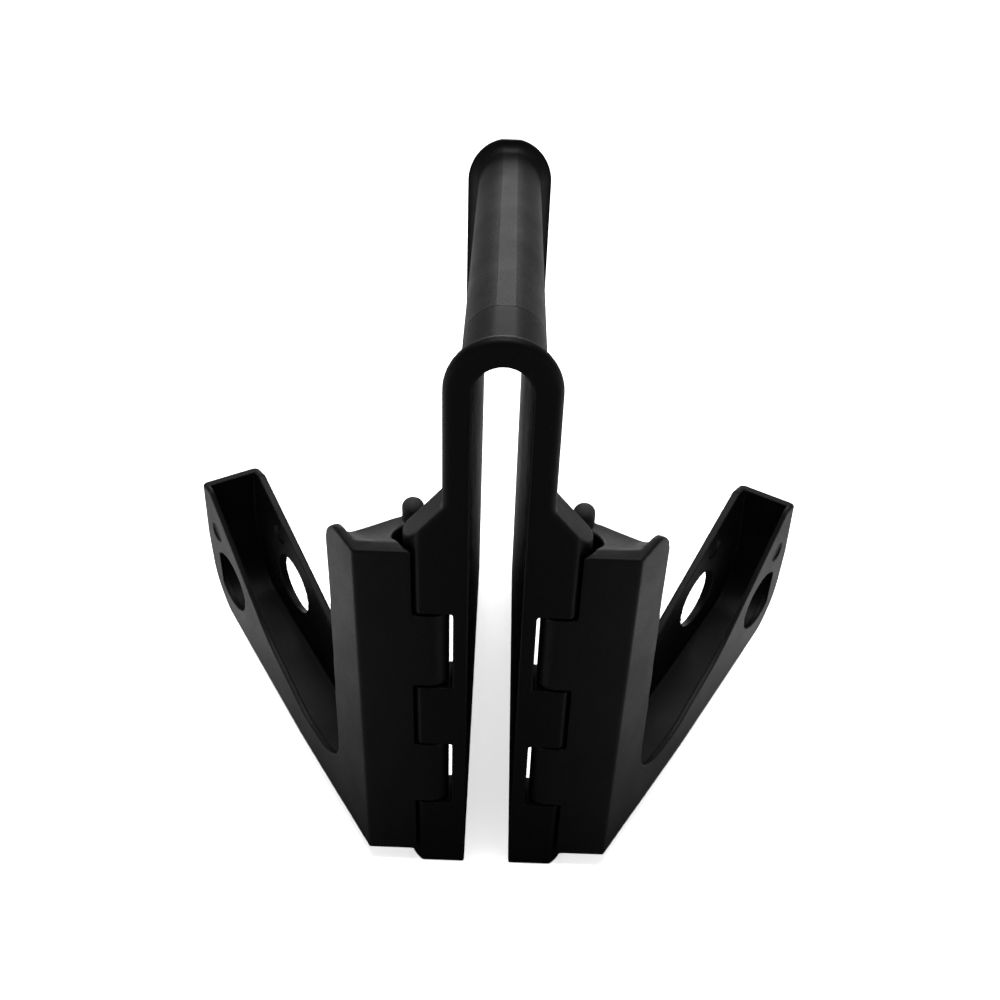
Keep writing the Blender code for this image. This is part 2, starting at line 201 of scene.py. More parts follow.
def bake_modifiers(obj):
    """Apply every modifier on the object."""
    graph = bpy.context.evaluated_depsgraph_get()
    mesh = bpy.data.meshes.new_from_object(obj.evaluated_get(graph))
    obj.modifiers.clear()
    old, obj.data = obj.data, mesh
    bpy.data.meshes.remove(old)
    mesh.name = obj.name


def combine(target, tool, operation):
    """Cut the tool from the target or join it on, and remove the tool."""
    modifier = target.modifiers.new("cut", "BOOLEAN")
    modifier.operation = operation
    modifier.solver = "EXACT"
    modifier.object = tool
    bake_modifiers(target)
    bpy.data.objects.remove(tool, do_unlink=True)


def cut(target, build):
    combine(target, make_object("tool", build), "DIFFERENCE")


def join(target, build):
    combine(target, make_object("tool", build), "UNION")


def loft(rings):
    """A solid through rings of equal length, with a flat cap on each end."""
    count = len(rings[0])
    points = [point for ring in rings for point in ring]
    faces = [list(range(count)), list(range(len(points) - count, len(points)))]
    for level in range(len(rings) - 1):
        for k in range(count):
            a = level * count + k
            b = level * count + (k + 1) % count
            faces.append([a, b, b + count, a + count])
    return points, faces


def arc(centre, radius, start, end, steps=None):
    """Points on a circle from start to end, in degrees."""
    steps = steps or max(2, round(abs(math.radians(end - start)) / ARC_STEP))
    angles = [math.radians(start + (end - start) * k / steps) for k in range(steps + 1)]
    return [(centre[0] + radius * math.cos(a), centre[1] + radius * math.sin(a)) for a in angles]


def rounded(corners):
    """An outline from corners (a, b, radius), each corner replaced by an arc of its radius."""
    outline = []
    for k, (a, b, radius) in enumerate(corners):
        corner = Vector((a, b))
        if radius == 0:
            outline.append((a, b))
            continue
        back = (Vector(corners[k - 1][:2]) - corner).normalized()
        ahead = (Vector(corners[(k + 1) % len(corners)][:2]) - corner).normalized()
        half = math.acos(max(-1.0, min(1.0, back.dot(ahead)))) / 2
        centre = corner + (back + ahead).normalized() * radius / math.sin(half)
        first = corner + back * radius / math.tan(half) - centre
        turn = math.pi - 2 * half
        sign = 1 if back.x * ahead.y - back.y * ahead.x < 0 else -1
        for step in range(CORNER_STEPS + 1):
            spin = Matrix.Rotation(sign * turn * step / CORNER_STEPS, 2)
            outline.append(tuple(centre + spin @ first))
    return outline


def prism(outline, low, high):
    """An upright prism on a plan outline."""
    return loft([[(x, y, z) for x, y in outline] for z in (low, high)])


def box(low, high):
    corners = [(low[0], low[1]), (high[0], low[1]), (high[0], high[1]), (low[0], high[1])]
    return prism(corners, low[2], high[2])


def lathe(profile, place, sides=48):
    """Turn a profile of (radius, distance) about the axis that place sets."""
    rings = []
    for radius, distance in profile:
        angles = [math.tau * k / sides for k in range(sides)]
        rings.append([place(radius * math.cos(a), radius * math.sin(a), distance) for a in angles])
    return loft(rings)


def upright(x, y):
    """Place for lathe: a vertical axis."""
    return lambda a, b, distance: (x + a, y + b, distance)


def along_x(y, z):
    """Place for lathe: an axis from side to side."""
    return lambda a, b, distance: (distance, y + a, z + b)


def mirrored(build, side):
    """Points and faces on the right (side 1) or left (side -1)."""
    points, faces = build
    return [(side * x, y, z) for x, y, z in points], faces


def mirror_copy(obj, name):
    """The same piece on the other side of the plane of symmetry."""
    copy = bpy.data.objects.new(name, obj.data.copy())
    copy.data.transform(Matrix.Scale(-1, 4, (1, 0, 0)))
    copy.data.flip_normals()
    bpy.context.collection.objects.link(copy)
    return copy


def mould(obj, softness):
    """Give a sharp solid the skin of a moulding: rounded edges, and few faces where it is flat.

    softness gives, from a point in plan coordinates, how far its edge is rounded.
    """
    skin = obj.modifiers.new("skin", "REMESH")
    skin.mode = "VOXEL"
    skin.voxel_size = VOXEL * MM
    bake_modifiers(obj)
    group = obj.vertex_groups.new(name="softness")
    for vertex in obj.data.vertices:
        x, y, z = vertex.co / MM
        group.add([vertex.index], softness(abs(x), y + CENTRE_Y, z), "REPLACE")
    soften = obj.modifiers.new("soften", "SMOOTH")
    soften.factor = SOFT_STEP
    soften.iterations = SOFT_PASSES
    soften.vertex_group = group.name
    bake_modifiers(obj)
    obj.vertex_groups.clear()
    thin = obj.modifiers.new("thin", "DECIMATE")
    thin.ratio = KEEP_SHARE
    bake_modifiers(obj)
    obj.data.shade_smooth()


def weigh_normals(obj):
    """Keep flat faces flat beside their rounded edges."""
    even = obj.modifiers.new("even", "WEIGHTED_NORMAL")
    even.keep_sharp = True
    bake_modifiers(obj)


def smooth_by_angle(obj, angle=35.0):
    obj.data.shade_smooth()
    obj.data.set_sharp_from_angle(angle=math.radians(angle))


# ---------------------------------------------------------------- materials

# Depths are in metres, and texture scales are per metre.
# Painted highlight on sharp edges: how much lighter than the light colour it is, its share of the tint,
# and how much less rough it makes them.
EDGE_HIGHLIGHT_GAIN = 2.2
EDGE_HIGHLIGHT_SHARE = 0.4
EDGE_GLOSS = -0.07
COARSE_GRAIN_DEPTH = 0.0002
FINE_GRAIN_DEPTH = 0.00006
PLASTIC_IOR = 1.47
RING_SCALE = 900
RING_DISTORTION = 1.5
RING_DEPTH = 0.00003


def new_material(name):
    """A new material, with its nodes, links and main shader."""
    material = bpy.data.materials.new(name)
    material.use_nodes = True
    nodes = material.node_tree.nodes
    return material, nodes, material.node_tree.links, nodes["Principled BSDF"]


def noise(nodes, links, coords, scale, detail, roughness=0.5):
    node = nodes.new("ShaderNodeTexNoise")
    node.inputs["Scale"].default_value = scale
    node.inputs["Detail"].default_value = detail
    node.inputs["Roughness"].default_value = roughness
    links.new(coords, node.inputs["Vector"])
    return node.outputs["Fac"]


def map_range(nodes, links, value, source, result, smooth=False):
    """Carry the value from the source span (low, high) to the result span, and hold it there."""
    node = nodes.new("ShaderNodeMapRange")
    node.interpolation_type = "SMOOTHSTEP" if smooth else "LINEAR"
    node.inputs["From Min"].default_value = source[0]
    node.inputs["From Max"].default_value = source[1]
    node.inputs["To Min"].default_value = result[0]
    node.inputs["To Max"].default_value = result[1]
    links.new(value, node.inputs["Value"])
    return node.outputs["Result"]


def maths(nodes, links, operation, one, two=0):
    node = nodes.new("ShaderNodeMath")
    node.operation = operation
    for value, socket in ((one, node.inputs[0]), (two, node.inputs[1])):
        if isinstance(value, (int, float)):
            socket.default_value = value
        else:
            links.new(value, socket)
    return node.outputs[0]


def ramp(nodes, links, value, stops):
    node = nodes.new("ShaderNodeValToRGB")
    while len(node.color_ramp.elements) < len(stops):
        node.color_ramp.elements.new(0.5)
    for element, (place, colour) in zip(node.color_ramp.elements, stops):
        element.position = place
        element.color = (*colour, 1.0)
    links.new(value, node.inputs["Fac"])
    return node.outputs["Color"]


def add_bump(nodes, links, height, distance, strength, below=None):
    node = nodes.new("ShaderNodeBump")
    node.inputs["Distance"].default_value = distance
    node.inputs["Strength"].default_value = strength
    links.new(height, node.inputs["Height"])
    if below is not None:
        links.new(below, node.inputs["Normal"])
    return node.outputs["Normal"]


def moulded_plastic(name, dark, light, roughness, grain=1.0):
    """Fine-grained satin moulding: spark-eroded grain, faint flow mottling and a painted highlight on
    sharp edges.
    """
    material, nodes, links, shader = new_material(name)
    coords = nodes.new("ShaderNodeTexCoord").outputs["Object"]
    fine = noise(nodes, links, coords, scale=2600, detail=2, roughness=0.6)
    coarse = noise(nodes, links, coords, scale=1100, detail=3, roughness=0.7)
    flow = noise(nodes, links, coords, scale=28, detail=4, roughness=0.55)
    edge = nodes.new("ShaderNodeNewGeometry").outputs["Pointiness"]
    # Painted highlight: the sharp convex edges that pointiness finds are coloured lighter, in patches,
    # and made a little glossier.
    highlight_edges = map_range(nodes, links, edge, (0.505, 0.56), (0.0, 1.0), smooth=True)
    patchy = map_range(nodes, links, coarse, (0.35, 0.65), (0.25, 1.0))
    edge_sheen = maths(nodes, links, "MULTIPLY", highlight_edges, patchy)
    mottle = maths(nodes, links, "ADD", maths(nodes, links, "MULTIPLY", flow, 0.5),
                   maths(nodes, links, "MULTIPLY", coarse, 0.5))
    tint = maths(nodes, links, "ADD", mottle, maths(nodes, links, "MULTIPLY", edge_sheen, EDGE_HIGHLIGHT_SHARE))
    highlight_colour = tuple(EDGE_HIGHLIGHT_GAIN * value for value in light)
    stops = ((0.3, dark), (0.72, light), (1.0, highlight_colour))
    links.new(ramp(nodes, links, tint, stops), shader.inputs["Base Color"])
    uneven = maths(nodes, links, "ADD", coarse, flow)
    rough = map_range(nodes, links, uneven, (0.7, 1.3), (roughness[1], roughness[0]))
    polish = maths(nodes, links, "MULTIPLY", edge_sheen, EDGE_GLOSS)
    links.new(maths(nodes, links, "ADD", rough, polish), shader.inputs["Roughness"])
    shader.inputs["Specular IOR Level"].default_value = 0.5
    shader.inputs["IOR"].default_value = PLASTIC_IOR
    skin = add_bump(nodes, links, coarse, COARSE_GRAIN_DEPTH * grain, strength=0.5)
    skin = add_bump(nodes, links, fine, FINE_GRAIN_DEPTH * grain, strength=0.45, below=skin)
    links.new(skin, shader.inputs["Normal"])
    return material


def turned_steel(name, dark, light, roughness, metallic):
    """Turned steel with fine rings round its axis, a blotchy finish and a painted highlight on sharp
    edges.
    """
    material, nodes, links, shader = new_material(name)
    coords = nodes.new("ShaderNodeTexCoord").outputs["Object"]
    blotch = noise(nodes, links, coords, scale=420, detail=4)
    rings = nodes.new("ShaderNodeTexWave")
    rings.bands_direction = "Z"
    rings.inputs["Scale"].default_value = RING_SCALE
    rings.inputs["Distortion"].default_value = RING_DISTORTION
    links.new(coords, rings.inputs["Vector"])
    edge = nodes.new("ShaderNodeNewGeometry").outputs["Pointiness"]
    # Painted highlight: the sharp convex edges that pointiness finds are coloured lighter.
    highlight_edges = map_range(nodes, links, edge, (0.51, 0.6), (0.0, 0.5), smooth=True)
    tint = maths(nodes, links, "ADD", blotch, highlight_edges)
    links.new(ramp(nodes, links, tint, ((0.3, dark), (0.9, light))), shader.inputs["Base Color"])
    links.new(map_range(nodes, links, blotch, (0.3, 0.7), roughness), shader.inputs["Roughness"])
    shader.inputs["Metallic"].default_value = metallic
    skin = add_bump(nodes, links, rings.outputs["Fac"], RING_DEPTH, strength=0.4)
    links.new(skin, shader.inputs["Normal"])
    return material


def dress(obj, material, body=None, stands_for=()):
    """Material, slot, body and the CAD nodes that the piece stands for."""
    obj.data.materials.clear()
    obj.data.materials.append(material)
    if body:
        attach(obj, body)
    if stands_for:
        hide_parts(*stands_for)


# ---------------------------------------------------------------- centre body

def arch_path(half, y, bottom, flat_top, edge=0.0):
    """Floor to floor over the arch; flat_top planes off the crown, edge rounds the bottom ends."""
    limit = half * math.cos(math.radians(TOP_FLAT_ANGLE)) if flat_top else half
    shoulder = [90 - (90 - TOP_FLAT_ANGLE) * k / ARCH_STEPS for k in range(ARCH_STEPS + 1)]
    crown = [TOP_FLAT_ANGLE / 2, 0, -TOP_FLAT_ANGLE / 2]
    foot = []
    for k in range(FOOT_STEPS + 1):
        a = math.radians(90 * k / FOOT_STEPS)
        foot.append((half - edge * (1 - math.sin(a)), y, bottom + abs(edge) * (1 - math.cos(a))))
    path = list(foot)
    for angle in shoulder + crown + [-angle for angle in reversed(shoulder)]:
        a = math.radians(angle)
        path.append((half * math.sin(a), y, ARCH_Z + min(half * math.cos(a), limit)))
    path += [(-x, y, z) for x, y, z in reversed(foot)]
    return path


def arch_body(outer, inner, bottom, flat_top=True, edge=0.0):
    """A U-shaped body; outer and inner list (y, half width) from front to back."""
    paths = [arch_path(half, y, bottom, flat_top, edge) for y, half in outer]
    paths += [arch_path(half, y, bottom, False, -edge) for y, half in inner]
    count = len(paths[0])
    points = [point for path in paths for point in path]
    split = len(outer)
    last = len(paths) - 1
    pairs = [(row, row + 1) for row in range(last) if row + 1 != split]
    pairs += [(0, split), (split - 1, last)]
    faces = []
    for one, two in pairs:
        for k in range(count - 1):
            faces.append([one * count + k, one * count + k + 1, two * count + k + 1, two * count + k])
    order = list(range(split)) + list(range(last, split - 1, -1))
    faces.append([row * count for row in order])
    faces.append([row * count + count - 1 for row in order])
    return points, faces


def flange_profile(face_y, direction):
    """(y, half width) from the outer face of a flange, over its rounded rim, down its cove."""
    rim_centre = (FLANGE_RIM, FLANGE_HALF - FLANGE_RIM)
    back_r = 0.9
    back_centre = (FLANGE_THICK - back_r, FLANGE_HALF - back_r)
    cove_centre = (FLANGE_THICK + COVE, TUBE_HALF + COVE)
    cove_top = FLANGE_HALF - 0.6
    cove_start = 174 - math.degrees(math.asin((cove_top - cove_centre[1]) / COVE))
    profile = arc(rim_centre, FLANGE_RIM, 180, 90, 16)
    profile += arc(back_centre, back_r, 90, 10, 14)
    profile += arc(cove_centre, COVE, cove_start, 270, 18)
    return [(face_y + direction * y, half) for y, half in profile]


def lug_outline():
    """Plan of the right-hand lug: leg, web and the bulging hinge barrel, flat at the front."""
    reach = math.degrees(math.asin(LUG_CENTRE[1] / LUG_R))
    barrel = arc(LUG_CENTRE, LUG_R, -reach, 0)
    centre = (LUG_CENTRE[0] + LUG_R - LUG_CORNER, LUG_BACK - LUG_CORNER)
    corner = arc(centre, LUG_CORNER, 0, 90)
    root = SLOT_HALF + OVERLAP
    return [(root, 0)] + barrel[:-1] + corner + [(root, LUG_BACK)]


def shoulder_cut():
    """The wedge above the sloping shoulder."""
    (x0, z0), (x1, z1) = SHOULDER_TOP, SHOULDER_END
    slope = (z1 - z0) / (x1 - x0)
    near, far = SLOT_HALF - OVERLAP, OUTSIDE_LUG
    outline = [(x, z0 + slope * (x - x0)) for x in (near, far)]
    outline += [(far, LUG_CLEAR_TOP), (near, LUG_CLEAR_TOP)]
    return loft([[(x, y, z) for x, z in outline] for y in (BEFORE_WALL, BEHIND_LUG)])


def build_lug(side):
    """One side's lug, with windows for the arm's knuckles."""
    lug = make_object("lug", mirrored(prism(lug_outline(), 0, LUG_BLANK_TOP), side))
    cut(lug, mirrored(shoulder_cut(), side))
    for low, high in WINDOWS:
        window = box((LEG_HALF, BEFORE_WALL, low), (OUTSIDE_LUG, BEHIND_LUG, high))
        cut(lug, mirrored(window, side))
    return lug


def bore(target, side, radius, top):
    """Cut a round hole on a hinge axis, from below the floor up to a height."""
    cut(target, lathe([(radius, BELOW_FLOOR), (radius, top)], upright(side * AXIS_X, AXIS_Y)))


def front_softness(x, y, z):
    """Fine edges round the hinge windows, full ones from the shoulders up and at the feet."""
    end_zone, window_zone, leg_zone = 8, 5, 3
    if z > SHOULDER_END[1] - end_zone or z < end_zone:
        return SOFT_CORNER
    beside = any(low - window_zone < z < high + window_zone for low, high in WINDOWS)
    return SOFT_KNUCKLE if beside and x > LEG_HALF - leg_zone else SOFT_EDGE


def trim_behind(obj, y):
    """Cut a piece off flat at a distance behind the wall face, and close the cut."""
    trim = bmesh.new()
    trim.from_mesh(obj.data)
    place = Vector((0, (y - CENTRE_Y) * MM, 0))
    everything = trim.verts[:] + trim.edges[:] + trim.faces[:]
    ends = bmesh.ops.bisect_plane(
        trim, geom=everything, plane_co=place, plane_no=(0, 1, 0), clear_outer=True)
    rim = [part for part in ends["geom_cut"] if isinstance(part, bmesh.types.BMEdge)]
    bmesh.ops.holes_fill(trim, edges=rim, sides=0)
    trim.to_mesh(obj.data)
    trim.free()


def build_front_shell():
    """Front frame, moulded a little too long and cut off at the seam so that its edge is crisp."""
    rebate = TONGUE_HALF + FIT_GAP
    rebate_start = TONGUE_START - FIT_GAP
    past_seam = BOSS_END + 6
    outer = [(0, TUBE_HALF), (past_seam, TUBE_HALF)]
    inner = [(0, SLOT_HALF), (rebate_start, SLOT_HALF), (rebate_start, rebate), (past_seam, rebate)]
    shell = make_object("front_shell", arch_body(outer, inner, 0))
    flange = flange_profile(0, 1)
    hidden = [(y, SLOT_HALF + OVERLAP) for y in (flange[0][0], flange[-1][0])]
    join(shell, arch_body(flange, hidden, FLANGE_FOOT_Z, flat_top=False))
    for side in (1, -1):
        combine(shell, build_lug(side), "UNION")
        bore(shell, side, PIN_R + FIT_GAP, PIN_TOP + 1)
        bore(shell, side, PLUG_R + FIT_GAP, PLUG_TOP)
    mould(shell, front_softness)
    trim_behind(shell, BOSS_END)
    smooth_by_angle(shell, 50)
    weigh_normals(shell)
    return shell


def build_channel():
    """Rear channel: its tongue enters the front frame, and its flange closes the back."""
    seam = BOSS_END + FIT_GAP
    seam_edge, tongue_edge, lip = 0.25, 0.5, 1.2
    outer = [(TONGUE_START, TONGUE_HALF), (seam, TONGUE_HALF)]
    outer += [(seam, TUBE_HALF - seam_edge), (seam + seam_edge, TUBE_HALF)]
    outer += flange_profile(DEPTH, -1)[::-1]
    inner = [(TONGUE_START, SLOT_HALF + tongue_edge), (TONGUE_START + tongue_edge, SLOT_HALF)]
    inner += [(DEPTH - y, half) for half, y in arc((SLOT_HALF + lip, lip), lip, 180, 270, 16)]
    channel = make_object("channel_shell", arch_body(outer, inner, 0, edge=1.0))
    smooth_by_angle(channel, 7)
    weigh_normals(channel)
    return channel


# ---------------------------------------------------------------- folding arm (right-hand one)

def arm_point(u, v, z):
    """From arm coordinates to plan coordinates and height."""
    return SIDE_X + u * SIDE_SIN - v * SIDE_COS, u * SIDE_COS + v * SIDE_SIN, z


def arm_solid(*slices):
    """A solid through side outlines (u, z), each at its own depth."""
    return loft([[arm_point(u, depth, z) for u, z in outline] for depth, outline in slices])


def side_outline(rim):
    """Side view of the arm: upright block, long bottom edge, rounded heel and tip, then the rim."""
    before_wall = -70
    return rounded([
        (before_wall, BLOCK_BOTTOM, 0),
        (0, BLOCK_BOTTOM, 0),
        (100, 20.5, 200),
        (TIP_U, 46, 38),
        (TIP_U + 5, 100, 60),
        (TIP_U + 1, 143, 1.5),
        (230, 144.5, 8),
        *rim,
        (BLOCK_BACK_U, 200, 0),
        (BLOCK_BACK_U, HORN_TOP, HORN_ROUND),
        (0, BLOCK_TOP, 0),
        (before_wall, BLOCK_TOP, 0),
    ])


def block_outline():
    """Side view of the upright block alone, just inside the arm's outline."""
    inset = 0.4
    before_wall = -90
    back = BLOCK_BACK_U - inset
    low, high = BLOCK_BOTTOM + 0.5, BLOCK_TOP - inset
    return rounded([
        (before_wall, low, 0),
        (0, low, 0),
        (back, low + 3, 0),
        (back, HORN_TOP - inset, HORN_ROUND),
        (0, high, 0),
        (before_wall, high, 0),
    ])


def trough_outline():
    """Side view of the hollow inside the arm, open at the top."""
    open_top = 220
    return rounded([
        (39.5, 18.5, 0),
        (100, 20.5 + WALL, 200),
        (TIP_U - 3, 46 + 1.4 * WALL, 34),
        (TIP_U + 5 - WALL, 100, 60),
        (TIP_U - TIP_WALL, 146, 0),
        (TIP_U - TIP_WALL, open_top, 0),
        (BLOCK_BACK_U + 0.4, open_top, 0),
        (37.9, 60, 0),
    ])


def from_axis(along, inward):
    """A plan point at a distance along the arm and inwards from the hinge axis."""
    x = AXIS_X + along * SIDE_SIN - inward * SIDE_COS
    y = AXIS_Y + along * SIDE_COS + inward * SIDE_SIN
    return x, y


def pocket_outline():
    """Plan of the hollow behind and around the frame's knuckles, open at the front and inside."""
    before_wall, far_inside, back = -60, -10, 40
    return rounded([
        (43.2, before_wall, 0),
        (43.2, 0, 0),
        (50.8, 9.6, 30),
        (56.2, 26, 22),
        (52, 39, 7),
        (36, back, 0),
        (far_inside, back, 0),
        (far_inside, before_wall, 0),
    ])


def knuckle_outline():
    """Plan of the arm's knuckle: a round end, flush with the front, with a web into the block."""
    web = 8.5
    flat = math.degrees(math.acos((AXIS_X - KNUCKLE_FLAT_X) / ARM_KNUCKLE_R))
    web_end = 90 - math.degrees(SIDE_ANGLE) + math.degrees(math.asin(web / ARM_KNUCKLE_R))
    front_end = arc((AXIS_X, AXIS_Y), ARM_KNUCKLE_R, 270, 180 + flat)
    back_end = arc((AXIS_X, AXIS_Y), ARM_KNUCKLE_R, 180 - flat, web_end)
    block_side = [from_axis(32, web), from_axis(32, -12), (60, 20)]
    return [(52, 0)] + front_end + back_end + block_side


def dish_cutter():
    """Everything above the dished top: a hollow that falls to the back from two raised rims."""
    rows, columns = DISH_ROWS, DISH_COLUMNS
    back_u = BLOCK_BACK_U + 6
    inner_v = BLOCK_WIDTH + 18
    crowding = 1.7
    rim_z = BLOCK_TOP + 0.05
    points = []
    for i in range(rows + 1):
        t = i / rows
        back_fall = (1 - (1 - t) ** 2) ** DISH_SOFTNESS
        for j in range(columns + 1):
            v = DISH_SIDE_V + (inner_v - DISH_SIDE_V) * (j / columns) ** crowding
            front_u = (DISH_FRONT_Y - v * SIDE_SIN) / SIDE_COS
            u = front_u + (back_u - front_u) * t
            across = min(1.0, (v - DISH_SIDE_V) / DISH_SIDE_RUN)
            fall = DISH_DEPTH * back_fall * math.sqrt(1 - (1 - across) ** 2)
            points.append(arm_point(u, v, rim_z - fall))
    width = columns + 1
    count = len(points)
    points += [(x, y, DISH_CLEAR_TOP) for x, y, z in points]
    faces = []
    for i in range(rows):
        for j in range(columns):
            a = i * width + j
            faces.append([a, a + 1, a + width + 1])
            faces.append([a, a + width + 1, a + width])
    border = list(range(width))
    border += [i * width + columns for i in range(1, rows + 1)]
    border += [rows * width + j for j in range(columns - 1, -1, -1)]
    border += [i * width for i in range(rows - 1, 0, -1)]
    for k, a in enumerate(border):
        b = border[(k + 1) % len(border)]
        faces.append([a, b, b + count, a + count])
    faces.append([a + count for a in border])
    return points, faces


def dimple(face):
    """The blind recess in a wall of the arm, on the face at that depth, beside the large hole."""
    u, z, radius = DIMPLE
    u -= face * math.tan(SIDE_ANGLE)
    wide = radius / SIDE_COS
    angles = [math.tau * k / DIMPLE_SIDES for k in range(DIMPLE_SIDES)]
    outline = [(u + wide * math.cos(a), z + radius * math.sin(a)) for a in angles]
    return arm_solid((face - DIMPLE_DEPTH, outline), (face + DIMPLE_DEPTH, outline))


def arm_softness(x, y, z):
    """Crisp holes, fine knuckles and wall rims, a fuller bottom edge and the fullest on the block."""
    hole_zone, knuckle_zone, block_zone = 2.5, 3, 6
    u = (x - SIDE_X) * SIDE_SIN + y * SIDE_COS
    for hole_u, hole_z, radius in (HOLE_LARGE, DIMPLE):
        if abs(math.hypot(y - hole_u * SIDE_COS, z - hole_z) - radius) < hole_zone:
            return SOFT_HOLE
    if x < AXIS_X + ARM_KNUCKLE_R and y < AXIS_Y + ARM_KNUCKLE_R + knuckle_zone:
        return SOFT_KNUCKLE
    if u > BLOCK_BACK_U + block_zone:
        above_bottom = z > 30 + 0.1 * u
        return SOFT_RIM if above_bottom else SOFT_EDGE
    return SOFT_CORNER


def pulled(outline, back):
    """The side outline with its tip drawn back, for the round corners of the tip wall."""
    moved = []
    for u, z in outline:
        share = max(0.0, min(1.0, (u - TIP_ROUND_START) / TIP_ROUND_RUN))
        moved.append((u - back * share, z))
    return moved


def build_arm_shell():
    """The right-hand arm: trough, block, knuckles, then its hollows, holes and dished top."""
    outer, inner = side_outline(OUTER_RIM), side_outline(INNER_RIM)
    deep = WALL + 2 + TIP_ROUND
    angles = [math.pi / 2 * k / TIP_STEPS for k in range(TIP_STEPS + 1)]
    corner = [(TIP_ROUND * (1 - math.sin(a)), TIP_ROUND * (1 - math.cos(a))) for a in angles]
    slices = [(depth, pulled(outer, back)) for back, depth in corner]
    width = ARM_WIDTH + INNER_SKIN
    slices += [(deep, outer), (width - deep, inner)]
    slices += [(width - depth, pulled(inner, back)) for back, depth in reversed(corner)]
    arm = make_object("arm_shell_right", arm_solid(*slices))
    join(arm, arm_solid((1, block_outline()), (BLOCK_WIDTH, block_outline())))
    before_wall = box((-50, -90, ARM_CLEAR_LOW), (140, 0, ARM_CLEAR_TOP))
    cut(arm, before_wall)
    cut(arm, prism(pocket_outline(), ARM_CLEAR_LOW, ARM_CLEAR_TOP))
    for low, high in WINDOWS:
        join(arm, prism(knuckle_outline(), low + KNUCKLE_GAP, high - KNUCKLE_GAP))
    bore(arm, 1, PIN_R + FIT_GAP, BORE_CLEAR_TOP)
    cut(arm, arm_solid((WALL, trough_outline()), (ARM_WIDTH - WALL, trough_outline())))
    u, z, radius = HOLE_LARGE
    x, y, _ = arm_point(u, 0, z)
    outside, inside = x + 10, x - 80
    cut(arm, lathe([(radius, outside), (radius, inside)], along_x(y, z), sides=96))
    for face in (0, ARM_WIDTH - WALL):
        cut(arm, dimple(face))
    cut(arm, dish_cutter())
    mould(arm, arm_softness)
    smooth_by_angle(arm, 60)
    weigh_normals(arm)
    return arm


def peg_profile():
    """(radius, height) from the foot of the shank, up the side and over the dome."""
    side_low = PEG_SHOULDER + PEG_CHAMFER
    side_high = PEG_TOP - PEG_DOME
    rows = round((side_high - side_low) / KNURL_PITCH * SIDE_ROWS_A_PITCH)
    profile = [(PEG_SHANK_R, PEG_FOOT), (PEG_SHANK_R, PEG_SHOULDER)]
    profile.append((PEG_R - PEG_CHAMFER, PEG_SHOULDER))
    profile += [(PEG_R, side_low + (side_high - side_low) * k / rows) for k in range(rows + 1)]
    for k in range(1, DOME_STEPS + 1):
        a = DOME_END * k / DOME_STEPS
        profile.append((PEG_R * math.cos(a), side_high + PEG_DOME * math.sin(a) / math.sin(DOME_END)))
    return profile


def knurl_depth(angle, height):
    """How deep the two crossing sets of grooves are at a place on the peg."""
    groove_share = 2.2
    turn = angle * KNURL_GROOVES
    rise = (height - PEG_SHOULDER) / KNURL_PITCH * math.pi
    ridge = max(abs(math.sin((turn + rise) / 2)), abs(math.sin((turn - rise) / 2)))
    return KNURL_DEPTH * (1 - min(1.0, groove_share * (1 - ridge)))


def build_peg(name):
    """Round-topped peg with a cross-cut knurl round its side, on a plain shank."""
    rings = []
    for radius, height in peg_profile():
        ring = []
        for k in range(KNURL_SIDES):
            a = math.tau * k / KNURL_SIDES
            r = radius - knurl_depth(a, height) if radius > KNURL_INNER_R else radius
            ring.append((PEG_X + r * math.cos(a), PEG_Y + r * math.sin(a), height))
        rings.append(ring)
    peg = make_object(name, loft(rings))
    smooth_by_angle(peg, 60)
    return peg


def build_plug(name, side):
    """Plug in the foot of the pin's bore, with a chamfered hexagon socket."""
    edge, chamfer = 0.6, 0.5
    place = upright(side * AXIS_X, AXIS_Y)
    profile = [(PLUG_R - edge, FIT_GAP), (PLUG_R - 0.2, FIT_GAP + 0.15)]
    profile += [(PLUG_R, FIT_GAP + edge), (PLUG_R, PLUG_TOP)]
    plug = make_object(name, lathe(profile, place, sides=64))
    socket = [(HEX_R + chamfer, -1), (HEX_R + chamfer, FIT_GAP)]
    socket += [(HEX_R, FIT_GAP + chamfer), (HEX_R, HEX_TOP)]
    cut(plug, lathe(socket, place, sides=6))
    smooth_by_angle(plug)
    return plug


# ---------------------------------------------------------------- assembly

peg_plastic = moulded_plastic(
    "grey_knurled_peg", (0.14, 0.14, 0.141), (0.24, 0.24, 0.241), roughness=(0.5, 0.65))
plastic = moulded_plastic(
    "black_moulded_plastic", (0.011, 0.011, 0.0112), (0.030, 0.030, 0.0305), roughness=(0.36, 0.52))
frame_plastic = moulded_plastic(
    "black_frame_plastic", (0.005, 0.005, 0.0051), (0.015, 0.015, 0.0152), roughness=(0.36, 0.5))
washer_plastic = moulded_plastic(
    "black_acetal", (0.012, 0.012, 0.012), (0.028, 0.028, 0.028), roughness=(0.3, 0.4), grain=0.5)
pin_steel = turned_steel(
    "plated_steel", (0.28, 0.28, 0.29), (0.6, 0.6, 0.61), roughness=(0.22, 0.42), metallic=1.0)
black_steel = turned_steel(
    "black_oxide_steel", (0.018, 0.018, 0.019), (0.07, 0.07, 0.072), roughness=(0.35, 0.5), metallic=0.8)

